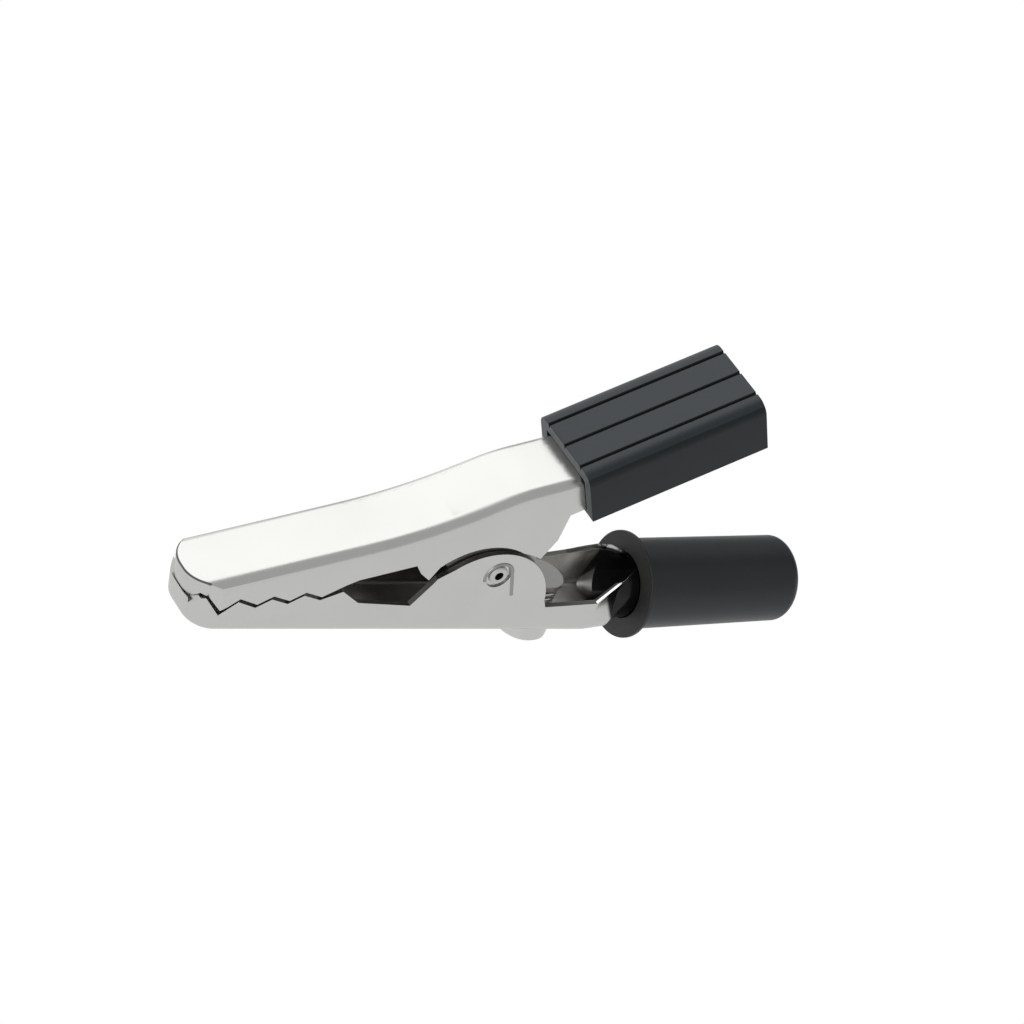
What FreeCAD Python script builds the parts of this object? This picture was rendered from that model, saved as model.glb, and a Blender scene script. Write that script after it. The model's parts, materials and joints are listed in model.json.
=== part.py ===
import FreeCAD, Part
import math
import os
import Sketcher

os.makedirs("parts", exist_ok=True)
doc = FreeCAD.newDocument("CrocodileClip")
vec = FreeCAD.Vector

# Millimetres and degrees. The sketches measure from the pivot axis in the
# middle of the clip: +X runs from the nose to the plug socket, +Z is up.
# Each body is then placed so that the origin is at the socket's mouth.
sheet = doc.addObject("Spreadsheet::Sheet", "Sizes")
values = {
    "metal": 0.45,
    "play": 0.1,
    "margin": 1.0,
    # side walls and bends
    "upper_width": 5.7,
    "lower_width": 5.6,
    "bend": 0.8,
    "inner_bend": 0.3,
    "nose_round": 2.6,
    # nose and mouth line
    "nose_x": -24.95,
    "nose_seam": -3.15,
    "window_front": -24.24,
    "window_peak": -23.98,
    "window_rear": -23.5,
    "window_top": -2.4,
    "window_notch": 0.4,
    "lip_gap": 0.14,
    "mouth_gap": 0.32,
    "fang_gap": 0.4,
    "fang_x": -22.35,
    "fang_z": -3.38,
    "fang_back": 1.2,
    "fang_depth": 1.14,
    "tooth_x": -19.57,
    "tooth_z": -2.74,
    "tooth_pitch": 2.56,
    "tooth_rise": 0.36,
    "tooth_back": 1.1,
    "tooth_depth": 0.76,
    # six-sided wire opening
    "wire_front_x": -12.8,
    "wire_front_z": -0.93,
    "wire_brow_x": -11.95,
    "wire_top_x": -7.6,
    "wire_top_z": 0.88,
    "wire_back_x": -6.95,
    "wire_back_z": 0.18,
    "wire_floor_front_x": -11.09,
    "wire_floor_front_z": -2.58,
    "wire_floor_rear_x": -6.5,
    "wire_floor_rear_z": -2.82,
    "wire_end_x": -5.42,
    "wire_end_z": -0.86,
    "wire_lip_x": -5.2,
    "wire_lip_z": -0.36,
    # web of the upper jaw, from the nose to the lever
    "web_slope": 17.1,
    "neck_x": -12.0,
    "neck_z": 2.42,
    "crown_x": -3.5,
    "crown_slope": 29.2,
    "brow_x": -2.4,
    "saddle_x": 0.2,
    "saddle_slope": 18.3,
    "dip_x": 2.0,
    "lever_start": 0.9,
    "lever_gap": 0.3,
    "lever_depth": 2.9,
    "flange_x": 3.6,
    "flange_z": 3.4,
    "flange_tip_x": 2.9,
    "flange_tip_z": 1.66,
    "arch_meet_x": 1.23,
    "arch_meet_z": 2.12,
    "arch_front_x": -5.55,
    "arch_front_z": 0.75,
    "arch_radius": 5.85,
    "horn_x": -6.0,
    "horn_z": -0.42,
    "step_height": 0.5,
    "cheek_front_x": -4.6,
    "cheek_front_z": 0.5,
    "cheek_brow_x": -3.6,
    "cheek_brow_z": 2.35,
    "cheek_crown_x": -1.27,
    "cheek_crown_z": 2.92,
    "cheek_waist_x": 3.3,
    "cheek_waist_z": 0.36,
    "cheek_rear_x": 4.5,
    "cheek_toe_rise": 0.35,
    "step_rear_x": 3.08,
    "step_rear_z": 2.11,
    # seat for the spring
    "seat_top": -2.0,
    "seat_radius": 1.67,
    "seat_front": 1.5,
    "spring_x": 6.5,
    # ear of the lower jaw
    "ear_radius": 5.6,
    "ear_front_x": -4.08,
    "ear_front_z": 0.46,
    "ear_rear_x": 5.2,
    "ear_rear_z": -2.26,
    # floor and side walls of the lower jaw
    "floor_z": -5.4,
    "bow_lead": 0.07,
    "bow_round": 2.0,
    "wall_x": 5.6,
    "wall_z": -2.91,
    "wall_slope": 4.5,
    "tail_x": 10.2,
    "cup_radius": 2.15,
    "cup_depth": 1.5,
    "cup_bevel": 0.3,
    # pivot
    "rivet_radius": 0.6,
    "rivet_bore": 0.34,
    "rivet_play": 0.04,
    "rivet_head": 0.75,
    "rivet_rim": 0.2,
    "rivet_edge": 0.1,
    "dish_radius": 1.05,
    "dish_depth": 0.15,
    # socket tube and its sleeve
    "socket_x": 14.2,
    "socket_z": -2.98,
    "socket_tilt": 3.0,
    "plug_radius": 2.0,
    "slit_angle": 24.0,
    "side_angle": 100.0,
    "foot_angle": 145.0,
    "shoulder_x": 12.2,
    "shoulder_top": -1.6,
    "shoulder_half": 1.95,
    "shoulder_foot": 2.65,
    "shoulder_bend": 1.1,
    "neck_slit": 38.0,
    "throat_x": 13.1,
    "tube_length": 13.0,
    "sleeve_stop": 1.6,
    "sleeve_front_radius": 3.39,
    "sleeve_rear_radius": 3.24,
    "sleeve_end_radius": 2.65,
    "sleeve_end_round": 0.85,
    "collar_radius": 4.0,
    "collar_thick": 0.3,
    "mouth_radius": 2.35,
    "sleeve_play": 0.04,
    # thumb cap
    "lever_angle": 30.0,
    "cap_x": 2.68,
    "cap_z": 9.79,
    "cap_length": 14.3,
    "cap_width": 7.7,
    "cap_height": 4.45,
    "cap_top_wall": 1.05,
    "cap_end_wall": 1.0,
    "cap_play": 0.05,
    "cap_round": 1.0,
    "groove_depth": 0.35,
    "groove_width": 0.5,
    "groove_step": 2.4,
    "lip_width": 1.9,
    "lip_thick": 0.4,
    # spring
    "spring_radius": 1.42,
    "spring_wire": 0.34,
    "spring_turns": 7,
    "spring_sides": 6,
}
for row, (alias, number) in enumerate(values.items(), 1):
    sheet.set("A%d" % row, alias)
    sheet.set("B%d" % row, str(number))
    sheet.setAlias("B%d" % row, alias)
doc.recompute()


# A size carries its number and the sheet formula that gives it, so that
# each formula is written once.
class Size:
    def __init__(self, number, text):
        self.number = number
        self.text = text

    def join(self, other, sign, number, swap=False):
        other = size(other)
        left, right = (other, self) if swap else (self, other)
        text = "(" + left.text + sign + right.text + ")"
        return Size(number(left.number, right.number), text)

    def __add__(self, other):
        return self.join(other, " + ", lambda a, b: a + b)

    def __radd__(self, other):
        return self.join(other, " + ", lambda a, b: a + b, True)

    def __sub__(self, other):
        return self.join(other, " - ", lambda a, b: a - b)

    def __rsub__(self, other):
        return self.join(other, " - ", lambda a, b: a - b, True)

    def __mul__(self, other):
        return self.join(other, " * ", lambda a, b: a * b)

    def __rmul__(self, other):
        return self.join(other, " * ", lambda a, b: a * b, True)

    def __truediv__(self, other):
        return self.join(other, " / ", lambda a, b: a / b)

    def __neg__(self):
        return self * -1


def size(thing):
    if isinstance(thing, Size):
        return thing
    if isinstance(thing, str):
        return Size(float(sheet.get(thing)), "Sizes." + thing)
    return Size(float(thing), repr(float(thing)))


def sine(angle):
    return Size(math.sin(math.radians(angle.number)), "sin(" + angle.text + " * 1deg)")


def cosine(angle):
    return Size(math.cos(math.radians(angle.number)), "cos(" + angle.text + " * 1deg)")


def tangent(angle):
    return sine(angle) / cosine(angle)


def root(amount):
    return Size(math.sqrt(amount.number), "sqrt(" + amount.text + ")")


class Named:
    def __getattr__(self, alias):
        return size(alias)


s = Named()
LEFT, RIGHT = 1, -1
home = (
    s.socket_x + s.tube_length * cosine(s.socket_tilt),
    s.socket_z + s.tube_length * sine(s.socket_tilt),
)


def plane_of(body, role):
    return [item for item in body.Origin.OriginFeatures if item.Role == role][0]


# Draws a closed outline. A corner is (across, up) or (across, up, radius,
# side), where the radius bends the stretch to the next corner round a
# centre on its left or right side. A half circle starts level with its
# centre along the sketch's first axis. A turn is (sketch axis, angle).
def outline(body, name, role, corners, lift=None, turn=None):
    sketch = body.newObject("Sketcher::SketchObject", name)
    sketch.AttachmentSupport = [(plane_of(body, role), "")]
    sketch.MapMode = "FlatFace"
    if lift is not None:
        for axis, amount in zip("xyz", lift):
            path = "AttachmentOffset.Base." + axis
            sketch.setExpression(path, size(amount).text)
    if turn is not None:
        spot = "AttachmentOffset.Rotation."
        sketch.setExpression(spot + "Angle", turn[1].text + " * 1deg")
        sketch.setExpression(spot + "Axis." + turn[0], "1")
        sketch.setExpression(spot + "Axis.z", "0")
    corners = [tuple(size(v) if i < 3 else v for i, v in enumerate(c)) for c in corners]
    shapes, firsts, lasts, bent = [], [], [], []
    for here, there in zip(corners, corners[1:] + corners[:1]):
        a = vec(here[0].number, here[1].number, 0)
        b = vec(there[0].number, there[1].number, 0)
        if len(here) == 2:
            shapes.append(Part.LineSegment(a, b))
            firsts.append(1)
            lasts.append(2)
            continue
        radius, side = here[2].number, here[3]
        chord = b - a
        reach = math.sqrt(max(radius ** 2 - chord.Length ** 2 / 4, 0))
        across = vec(-chord.y, chord.x, 0).normalize()
        centre = (a + b) * 0.5 + across * reach * side
        begin, end = (a, b) if side == LEFT else (b, a)
        start = math.atan2(begin.y - centre.y, begin.x - centre.x)
        stop = math.atan2(end.y - centre.y, end.x - centre.x)
        circle = Part.Circle(centre, vec(0, 0, 1), radius)
        shapes.append(Part.ArcOfCircle(circle, start, stop))
        firsts.append(1 if side == LEFT else 2)
        lasts.append(2 if side == LEFT else 1)
        half_turn = reach < radius / 1000
        bent.append((len(shapes) - 1, here[0] if half_turn else here[2], half_turn))
    sketch.addGeometry(shapes, False)
    count = len(corners)
    rules = []
    for i in range(count):
        after = (i + 1) % count
        rules.append(Sketcher.Constraint("Coincident", i, lasts[i], after, firsts[after]))
    bound = []
    for i, corner in enumerate(corners):
        bound.append((len(rules), corner[0]))
        rules.append(Sketcher.Constraint("DistanceX", i, firsts[i], corner[0].number))
        bound.append((len(rules), corner[1]))
        rules.append(Sketcher.Constraint("DistanceY", i, firsts[i], corner[1].number))
    for i, amount, half_turn in bent:
        bound.append((len(rules), amount))
        if half_turn:
            rules.append(Sketcher.Constraint("DistanceX", i, 3, amount.number))
        else:
            rules.append(Sketcher.Constraint("Radius", i, amount.number))
    sketch.addConstraint(rules)
    for index, amount in bound:
        sketch.setExpression("Constraints[%d]" % index, amount.text)
    return sketch


def ring(body, name, role, across, up, radius, lift=None):
    sketch = body.newObject("Sketcher::SketchObject", name)
    sketch.AttachmentSupport = [(plane_of(body, role), "")]
    sketch.MapMode = "FlatFace"
    if lift is not None:
        sketch.setExpression("AttachmentOffset.Base.z", size(lift).text)
    across, up, radius = size(across), size(up), size(radius)
    centre = vec(across.number, up.number, 0)
    sketch.addGeometry(Part.Circle(centre, vec(0, 0, 1), radius.number), False)
    sketch.addConstraint([
        Sketcher.Constraint("DistanceX", 0, 3, across.number),
        Sketcher.Constraint("DistanceY", 0, 3, up.number),
        Sketcher.Constraint("Radius", 0, radius.number),
    ])
    for index, amount in enumerate((across, up, radius)):
        sketch.setExpression("Constraints[%d]" % index, amount.text)
    return sketch


def feature(body, kind, name, sketch, length, symmetric=False, reverse=False):
    item = body.newObject("PartDesign::" + kind, name)
    item.Profile = sketch
    item.SideType = "Symmetric" if symmetric else "One side"
    item.Reversed = reverse
    item.setExpression("Length", size(length).text)
    before = volume(body)
    doc.recompute()
    changed = volume(body) - before
    if (kind == "Pad" and changed <= 0) or (kind == "Pocket" and changed >= 0):
        raise RuntimeError(name + " changes nothing")
    return item


def volume(body):
    shape = body.Shape
    return 0 if shape.isNull() else shape.Volume


def soften(body, name, amount, wanted, kind="Fillet", measure="Radius"):
    base = body.Tip
    names = ["Edge%d" % (i + 1) for i, e in enumerate(base.Shape.Edges) if wanted(e)]
    item = body.newObject("PartDesign::" + kind, name)
    item.Base = (base, names)
    item.setExpression(measure, size(amount).text)
    doc.recompute()
    if "Invalid" in item.State or "Error" in item.State or not item.Shape.isValid():
        raise RuntimeError(name + " fails on " + str(len(names)))
    return item


# The directions of the faces that meet at an edge's middle.
def normals_at(shape, edge):
    point = at(edge)
    found = []
    for face in shape.ancestorsOfType(edge, Part.Face):
        across, up = face.Surface.parameter(point)
        found.append(face.normalAt(across, up))
    return found


# A body's own origin, given from the pivot, and its turn about +Y.
def place(body, across, up, turn=0):
    spot = "Placement.Base."
    body.setExpression(spot + "x", (size(across) - home[0]).text)
    body.setExpression(spot + "z", (size(up) - home[1]).text)
    body.setExpression("Placement.Rotation.Angle", size(turn).text + " * 1deg")
    body.setExpression("Placement.Rotation.Axis.y", "1")
    body.setExpression("Placement.Rotation.Axis.z", "0")


def new_body(label):
    body = doc.addObject("PartDesign::Body", label)
    body.Label = label
    return body


def at(edge, fraction=0.5):
    span = edge.LastParameter - edge.FirstParameter
    return edge.valueAt(edge.FirstParameter + span * fraction)


# A point along the lever: how far from the cap's front edge, and how deep
# below the cap's top face.
def on_lever(along, deep):
    across = s.cap_x + along * cosine(s.lever_angle) + deep * sine(s.lever_angle)
    up = s.cap_z + along * sine(s.lever_angle) - deep * cosine(s.lever_angle)
    return across, up


def tip(i):
    return s.tooth_x + i * s.tooth_pitch, s.tooth_z + i * s.tooth_rise


def valley(i):
    across, up = tip(i)
    return across + s.tooth_back, up + s.tooth_depth


def arc_between(a, b, turn_angle):
    reach = root((b[0] - a[0]) * (b[0] - a[0]) + (b[1] - a[1]) * (b[1] - a[1]))
    return reach / (2 * sine(turn_angle / 2))


def web_points(drop):
    lever_top = s.cap_top_wall + s.cap_play
    neck = (s.neck_x, s.neck_z)
    slope = tangent((s.web_slope + s.crown_slope) / 2)
    crown = (s.crown_x, neck[1] + (s.crown_x - neck[0]) * slope)
    brow = (s.brow_x, crown[1] + (s.brow_x - crown[0]) * tangent(s.crown_slope))
    slope = tangent((s.saddle_slope + s.crown_slope) / 2)
    saddle = (s.saddle_x, brow[1] + (s.saddle_x - brow[0]) * slope)
    dip = (s.dip_x, saddle[1] + (s.dip_x - saddle[0]) * tangent(s.saddle_slope))
    start = on_lever(s.lever_start, lever_top)
    end = on_lever(lever_length, lever_top)
    low = [(p[0], p[1] - drop) for p in (neck, crown, brow, saddle, dip, start, end)]
    neck_arc = arc_between(neck, crown, s.crown_slope - s.web_slope)
    brow_arc = arc_between(brow, saddle, s.crown_slope - s.saddle_slope)
    dip_arc = arc_between(dip, start, s.lever_angle - s.saddle_slope)
    return [
        (*low[0], neck_arc, LEFT),
        low[1],
        (*low[2], brow_arc, RIGHT),
        low[3],
        (*low[4], dip_arc, LEFT),
        low[5],
        low[6],
    ]


def web_height(across, drop):
    return s.neck_z + (across - s.neck_x) * tangent(s.web_slope) - drop


# Upper jaw: a channel of bent sheet, open below, with the lever behind.
upper = new_body("upper_jaw")
lever_length = s.cap_length - s.cap_end_wall - s.lever_gap
flange_low = s.cap_top_wall + s.cap_play + s.lever_depth
lever_foot = s.cap_z + (s.flange_x - s.cap_x) * tangent(s.lever_angle)
lever_foot = lever_foot - flange_low / cosine(s.lever_angle)
upper_mouth = [
    (s.horn_x, s.horn_z),
    (s.wire_back_x, s.wire_back_z),
    (s.wire_top_x, s.wire_top_z),
    (s.wire_brow_x, s.wire_top_z + (s.wire_brow_x - s.wire_top_x) * tangent(s.web_slope)),
    (s.wire_front_x, s.wire_front_z),
    tip(2),
    valley(1),
    tip(1),
    valley(0),
    tip(0),
    (s.fang_x + s.fang_back, s.fang_z + s.fang_depth),
    (s.fang_x, s.fang_z),
    (s.window_rear, s.window_top),
    (s.window_peak, s.window_top),
    (s.window_front, s.nose_seam),
    (s.nose_x, s.nose_seam),
]


# The nose's front wall is square to the web, so it leans back going down.
def front_at(up, inset):
    lean = (web_height(s.nose_x, 0) - up) * tangent(s.web_slope)
    return s.nose_x + lean + size(inset) / cosine(s.web_slope), up


upper_side = [(s.nose_x, web_height(s.nose_x, 0))] + web_points(0) + [
    on_lever(lever_length, flange_low),
    (s.flange_x, s.floor_z),
    front_at(s.floor_z, 0),
]
side = outline(upper, "upper_side", "XZ_Plane", upper_side)
feature(upper, "Pad", "upper_block", side, s.upper_width, symmetric=True)


# The bends: the sheet's outer radius where the web or the floor turns into
# a side wall.
def bend_edges(body, way, least):
    shape = body.Tip.Shape

    def wanted(edge):
        normals = sorted(normals_at(shape, edge), key=lambda normal: normal.z * way)
        if len(normals) != 2 or abs(normals[0].y) < 0.9:
            return False
        return abs(normals[0].z) < 0.1 and normals[1].z * way > least

    return wanted


# The nose is round seen square to the web: each corner outside the round is
# cut, in a sketch that leans with the web.
def nose_cut(body, name, half, inset, radius):
    front = s.nose_x * cosine(s.web_slope)
    front = front + web_height(s.nose_x, 0) * sine(s.web_slope) + inset
    for word, way in (("near", -1), ("far", 1)):
        corner = [
            (front + radius, way * half, radius, LEFT * way),
            (front, way * (half - radius)),
            (front - s.margin, way * (half - radius)),
            (front - s.margin, way * (half + s.margin)),
            (front + radius, way * (half + s.margin)),
        ]
        lean = ("y", -s.web_slope)
        cut = outline(body, name + "_" + word, "XY_Plane", corner, turn=lean)
        feature(body, "Pocket", name + "_cut_" + word, cut, -s.nose_x * 2, symmetric=True)


upper_half = s.upper_width / 2


def subtract(body, name, tool):
    item = body.newObject("PartDesign::Boolean", name)
    item.setObjects([tool])
    item.Type = "Cut"
    before = volume(body)
    doc.recompute()
    if volume(body) >= before:
        raise RuntimeError(name + " cuts nothing")
    return item


soften(upper, "upper_bend", s.bend, bend_edges(upper, 1, 0.6))
nose_cut(upper, "upper_nose", upper_half, size(0), s.nose_round)

inner_half = upper_half - s.metal
upper_room = new_body("upper_room")
drop = s.metal / cosine(s.web_slope)
room_top = s.metal * (sine(s.web_slope) - cosine(s.web_slope))
room_top = web_height(s.nose_x, 0) + room_top
room_side = [front_at(room_top, s.metal)] + web_points(drop) + [
    on_lever(lever_length + s.margin, s.metal),
    on_lever(lever_length + s.margin, flange_low * 3),
    front_at(s.floor_z * 2, s.metal),
]
sketch = outline(upper_room, "upper_room_side", "XZ_Plane", room_side)
feature(upper_room, "Pad", "upper_room_block", sketch, inner_half * 2, symmetric=True)
soften(upper_room, "upper_room_bend", s.inner_bend, bend_edges(upper_room, 1, 0.6))
nose_cut(upper_room, "upper_room_nose", inner_half, s.metal, s.nose_round - s.metal)
subtract(upper, "upper_channel", upper_room)

punch = upper_mouth[::-1] + [
    (s.arch_front_x, s.arch_front_z, s.arch_radius, RIGHT),
    (s.arch_meet_x, s.arch_meet_z, s.arch_radius, RIGHT),
    (s.flange_tip_x, s.flange_tip_z),
    (s.flange_x, s.flange_z),
    (s.flange_x, lever_foot),
    on_lever(lever_length + s.margin, flange_low),
    (s.cap_x + s.cap_length, s.floor_z * 2),
    (s.nose_x - s.margin, s.floor_z * 2),
    (s.nose_x - s.margin, s.nose_seam),
]
sketch = outline(upper, "upper_punch", "XZ_Plane", punch)
feature(upper, "Pocket", "upper_mouth", sketch, s.upper_width * 2, symmetric=True)

# The cheeks that carry the pivot stand inside the side walls, joined to them
# by a step along the arch.
cheek_outer = s.lower_width / 2 - s.metal - s.play
cheek_inner = cheek_outer - s.metal
cheek_foot = s.seat_top - s.metal
step_top = s.arch_meet_z + s.step_height
step = [
    (s.flange_tip_x, s.flange_tip_z, s.arch_radius, LEFT),
    (s.arch_meet_x, s.arch_meet_z, s.arch_radius, LEFT),
    (s.arch_front_x, s.arch_front_z),
    (s.arch_front_x, s.arch_front_z + s.step_height, s.arch_radius, RIGHT),
    (s.arch_meet_x, step_top, s.arch_radius, RIGHT),
    (s.step_rear_x, s.step_rear_z),
]
cheek = [
    (s.cheek_front_x, s.cheek_front_z),
    (s.cheek_brow_x, s.cheek_brow_z),
    (s.cheek_crown_x, s.cheek_crown_z),
    (s.step_rear_x, s.step_rear_z),
    (s.flange_tip_x, s.flange_tip_z),
    (s.cheek_waist_x, s.cheek_waist_z),
    (s.cheek_rear_x, s.seat_top),
    (s.cheek_rear_x, cheek_foot),
    (s.seat_front, cheek_foot),
    (-s.seat_front, cheek_foot + s.cheek_toe_rise),
]
hollow_top = s.cheek_crown_z + s.margin / 4
hollow = [
    (s.arch_front_x - s.margin, cheek_foot - s.margin),
    (s.cheek_rear_x + s.margin, cheek_foot - s.margin),
    (s.cheek_rear_x + s.margin, hollow_top),
    (s.arch_front_x - s.margin, hollow_top),
]
sketch = outline(upper, "upper_cheek", "XZ_Plane", cheek)
feature(upper, "Pad", "upper_cheeks", sketch, cheek_outer * 2, symmetric=True)
sketch = outline(upper, "upper_step", "XZ_Plane", step)
feature(upper, "Pad", "upper_steps", sketch, s.upper_width, symmetric=True)
sketch = outline(upper, "upper_hollow", "XZ_Plane", hollow)
feature(upper, "Pocket", "upper_hollows", sketch, cheek_inner * 2, symmetric=True)
seat_wide = cheek_inner + s.metal / 4
seat = [
    (s.seat_front, -seat_wide),
    (s.cheek_rear_x, -seat_wide),
    (s.cheek_rear_x, -s.seat_radius),
    (s.spring_x, -s.seat_radius, s.seat_radius, LEFT),
    (s.spring_x, s.seat_radius),
    (s.cheek_rear_x, s.seat_radius),
    (s.cheek_rear_x, seat_wide),
    (s.seat_front, seat_wide),
]
sketch = outline(upper, "upper_seat", "XY_Plane", seat, lift=(0, 0, cheek_foot))
feature(upper, "Pad", "upper_spring_seat", sketch, s.metal)
rivet_hole = s.rivet_radius + s.rivet_play
sketch = ring(upper, "upper_pivot", "XZ_Plane", 0, 0, rivet_hole)
feature(upper, "Pocket", "upper_pivot_holes", sketch, s.upper_width, symmetric=True)

# The edges round the foot of a tray, along its sides and round its nose.
def foot_edges(body, height):
    rear = body.Tip.Shape.BoundBox.XMax

    def wanted(edge):
        box = edge.BoundBox
        level = abs(box.ZMin - height.number) < 0.01 and abs(box.ZMax - height.number) < 0.01
        return level and box.XMin < rear - 0.01

    return wanted


# Lower jaw: a channel open above, with the bow, the floor and the ears.
lower = new_body("lower_jaw")
lower_half = s.lower_width / 2
lower_seam = s.nose_seam - s.play
block_top = s.ear_radius
lower_side = [
    front_at(block_top, -s.bow_lead),
    front_at(s.floor_z, -s.bow_lead),
    (s.tail_x, s.floor_z),
    (s.tail_x, block_top),
]
sketch = outline(lower, "lower_side", "XZ_Plane", lower_side)
feature(lower, "Pad", "lower_block", sketch, s.lower_width, symmetric=True)
nose_cut(lower, "lower_nose", lower_half, -s.bow_lead, s.bow_round)
soften(lower, "lower_bend", s.bend, foot_edges(lower, s.floor_z))
lower_room = new_body("lower_room")
room_inset = s.metal - s.bow_lead
room_floor = s.floor_z + s.metal
room_side = [
    front_at(block_top * 2, room_inset),
    front_at(room_floor, room_inset),
    (s.tail_x + s.margin, room_floor),
    (s.tail_x + s.margin, block_top * 2),
]
room_width = (lower_half - s.metal) * 2
sketch = outline(lower_room, "lower_room_side", "XZ_Plane", room_side)
feature(lower_room, "Pad", "lower_room_block", sketch, room_width, symmetric=True)
room_round = s.bow_round - s.metal
nose_cut(lower_room, "lower_room_nose", lower_half - s.metal, room_inset, room_round)
soften(lower_room, "lower_room_bend", s.inner_bend, foot_edges(lower_room, room_floor))
subtract(lower, "lower_channel", lower_room)


def below(point, drop):
    return point[0], point[1] - drop


gap = s.mouth_gap
beyond = s.tail_x + s.margin
wall_end = s.wall_z + (beyond - s.wall_x) * tangent(s.wall_slope)
lip = s.window_top - s.lip_gap
lower_punch = [
    (s.nose_x - block_top, lower_seam),
    (s.window_front - s.lip_gap, lower_seam),
    (s.window_front, lower_seam - s.window_notch),
    (s.window_peak, lip - s.lip_gap),
    (s.window_rear - s.lip_gap, lip),
    (s.fang_x, s.fang_z - s.fang_gap),
    (s.fang_x + s.fang_back, s.fang_z + s.fang_depth - gap),
    below(tip(0), gap),
    below(valley(0), gap),
    below(tip(1), gap),
    below(valley(1), gap),
    below(tip(2), gap),
    below((s.wire_front_x, s.wire_front_z), gap * 2),
    (s.wire_floor_front_x, s.wire_floor_front_z),
    (s.wire_floor_rear_x, s.wire_floor_rear_z),
    (s.wire_end_x, s.wire_end_z),
    (s.wire_lip_x, s.wire_lip_z),
    (s.ear_front_x, s.ear_front_z, s.ear_radius, RIGHT),
    (s.ear_rear_x, s.ear_rear_z),
    (s.wall_x, s.wall_z),
    (beyond, wall_end),
    (beyond, block_top * 2),
    (s.nose_x - block_top, block_top * 2),
]
sketch = outline(lower, "lower_punch", "XZ_Plane", lower_punch)
feature(lower, "Pocket", "lower_mouth", sketch, s.lower_width * 2, symmetric=True)

# The spring stands in a cup drawn in the floor.
cup_bore = s.cup_radius - s.metal
cup_foot = s.floor_z - s.cup_depth
sketch = ring(lower, "lower_cup", "XY_Plane", s.spring_x, 0, s.cup_radius, cup_foot)
feature(lower, "Pad", "lower_cup_wall", sketch, s.cup_depth + s.metal / 2)
sketch = ring(lower, "lower_cup_bore", "XY_Plane", s.spring_x, 0, cup_bore, s.floor_z + s.metal)
feature(lower, "Pocket", "lower_cup_room", sketch, s.cup_depth)


def level_ring(height, radius):
    def wanted(edge):
        box = edge.BoundBox
        flat = abs(box.ZMin - height.number) < 0.01 and abs(box.ZMax - height.number) < 0.01
        return flat and abs(box.YMax - radius.number) < 0.01

    return wanted


cup_edge = level_ring(cup_foot, s.cup_radius)
soften(lower, "lower_cup_bevel", s.cup_bevel, cup_edge, "Chamfer", "Size")

# The ears have a shallow dish round the rivet.
for word, way in (("near", 1), ("far", -1)):
    sketch = ring(lower, "lower_dish_" + word, "XZ_Plane", 0, 0, s.dish_radius, lower_half * way)
    feature(lower, "Pocket", "lower_dishing_" + word, sketch, s.dish_depth, reverse=way < 0)
sketch = ring(lower, "lower_pivot", "XZ_Plane", 0, 0, rivet_hole)
feature(lower, "Pocket", "lower_pivot_holes", sketch, s.lower_width, symmetric=True)


# One section of the tail: the outer side from the slit down to the floor on
# one side and up again, and back along the inner side.
def tail_section(name, place, tilt, outer, inner, radii):
    def half(points, way):
        return [(point[0] * way, point[1]) for point in points]

    def path(points, turns, side):
        there = half(points, -1 * side) + half(points[::-1], side)
        bends = turns + turns[:2][::-1]
        found = []
        for point, bend in zip(there, bends + [None]):
            found.append(point if bend is None else (*point, bend, side))
        return found

    corners = path(outer, radii[0], LEFT) + path(inner, radii[1], RIGHT)
    lift = (0, place[1], place[0])
    return outline(lower, name, "YZ_Plane", corners, lift=lift, turn=tilt)


wall_top = s.wall_z + (s.tail_x - s.wall_x) * tangent(s.wall_slope)
deep = s.floor_z + s.metal
box_outer = [
    (lower_half, wall_top),
    (lower_half, s.floor_z + s.bend),
    (lower_half - s.bend, s.floor_z),
]
box_inner = [
    (lower_half - s.metal, wall_top),
    (lower_half - s.metal, deep + s.inner_bend),
    (lower_half - s.metal - s.inner_bend, deep),
]
inside = s.shoulder_bend - s.metal
shoulder_outer = [
    (s.shoulder_half, s.shoulder_top),
    (s.shoulder_foot, s.floor_z + s.shoulder_bend),
    (s.shoulder_foot - s.shoulder_bend, s.floor_z),
]
shoulder_inner = [
    (s.shoulder_half - s.metal, s.shoulder_top - s.metal / 4),
    (s.shoulder_foot - s.metal, deep + inside),
    (s.shoulder_foot - s.metal - inside, deep),
]
tube_radius = s.plug_radius + s.metal


def round_points(radius, slit):
    angles = (slit, s.side_angle, s.foot_angle)
    return [(radius * sine(angle), radius * cosine(angle)) for angle in angles]


axis_drop = (s.socket_x - s.throat_x) * tangent(s.socket_tilt)
throat = s.socket_z - axis_drop
tube_rings = [round_points(radius, s.slit_angle) for radius in (tube_radius, s.plug_radius)]
socket_turn = ("x", -s.socket_tilt)
sections = [
    tail_section("tail_box", (s.tail_x, 0), None, box_outer, box_inner,
                 ([None, s.bend, None], [None, s.inner_bend, None])),
    tail_section("tail_shoulder", (s.shoulder_x, 0), None, shoulder_outer, shoulder_inner,
                 ([None, s.shoulder_bend, None], [None, inside, None])),
    tail_section("tail_throat", (s.throat_x, throat), None,
                 round_points(tube_radius, s.neck_slit), round_points(s.plug_radius, s.neck_slit),
                 ([tube_radius] * 3, [s.plug_radius] * 3)),
    tail_section("tail_mouth", (s.socket_x, s.socket_z), socket_turn,
                 *tube_rings, ([tube_radius] * 3, [s.plug_radius] * 3)),
]
doc.recompute()
loft = lower.newObject("PartDesign::AdditiveLoft", "tail_form")
loft.Profile = sections[0]
loft.Sections = sections[1:]
loft.Ruled = True
tube = tail_section("tube_section", (s.socket_x, s.socket_z), socket_turn,
                    *tube_rings, ([tube_radius] * 3, [s.plug_radius] * 3))
feature(lower, "Pad", "socket_tube", tube, s.tube_length)


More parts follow.
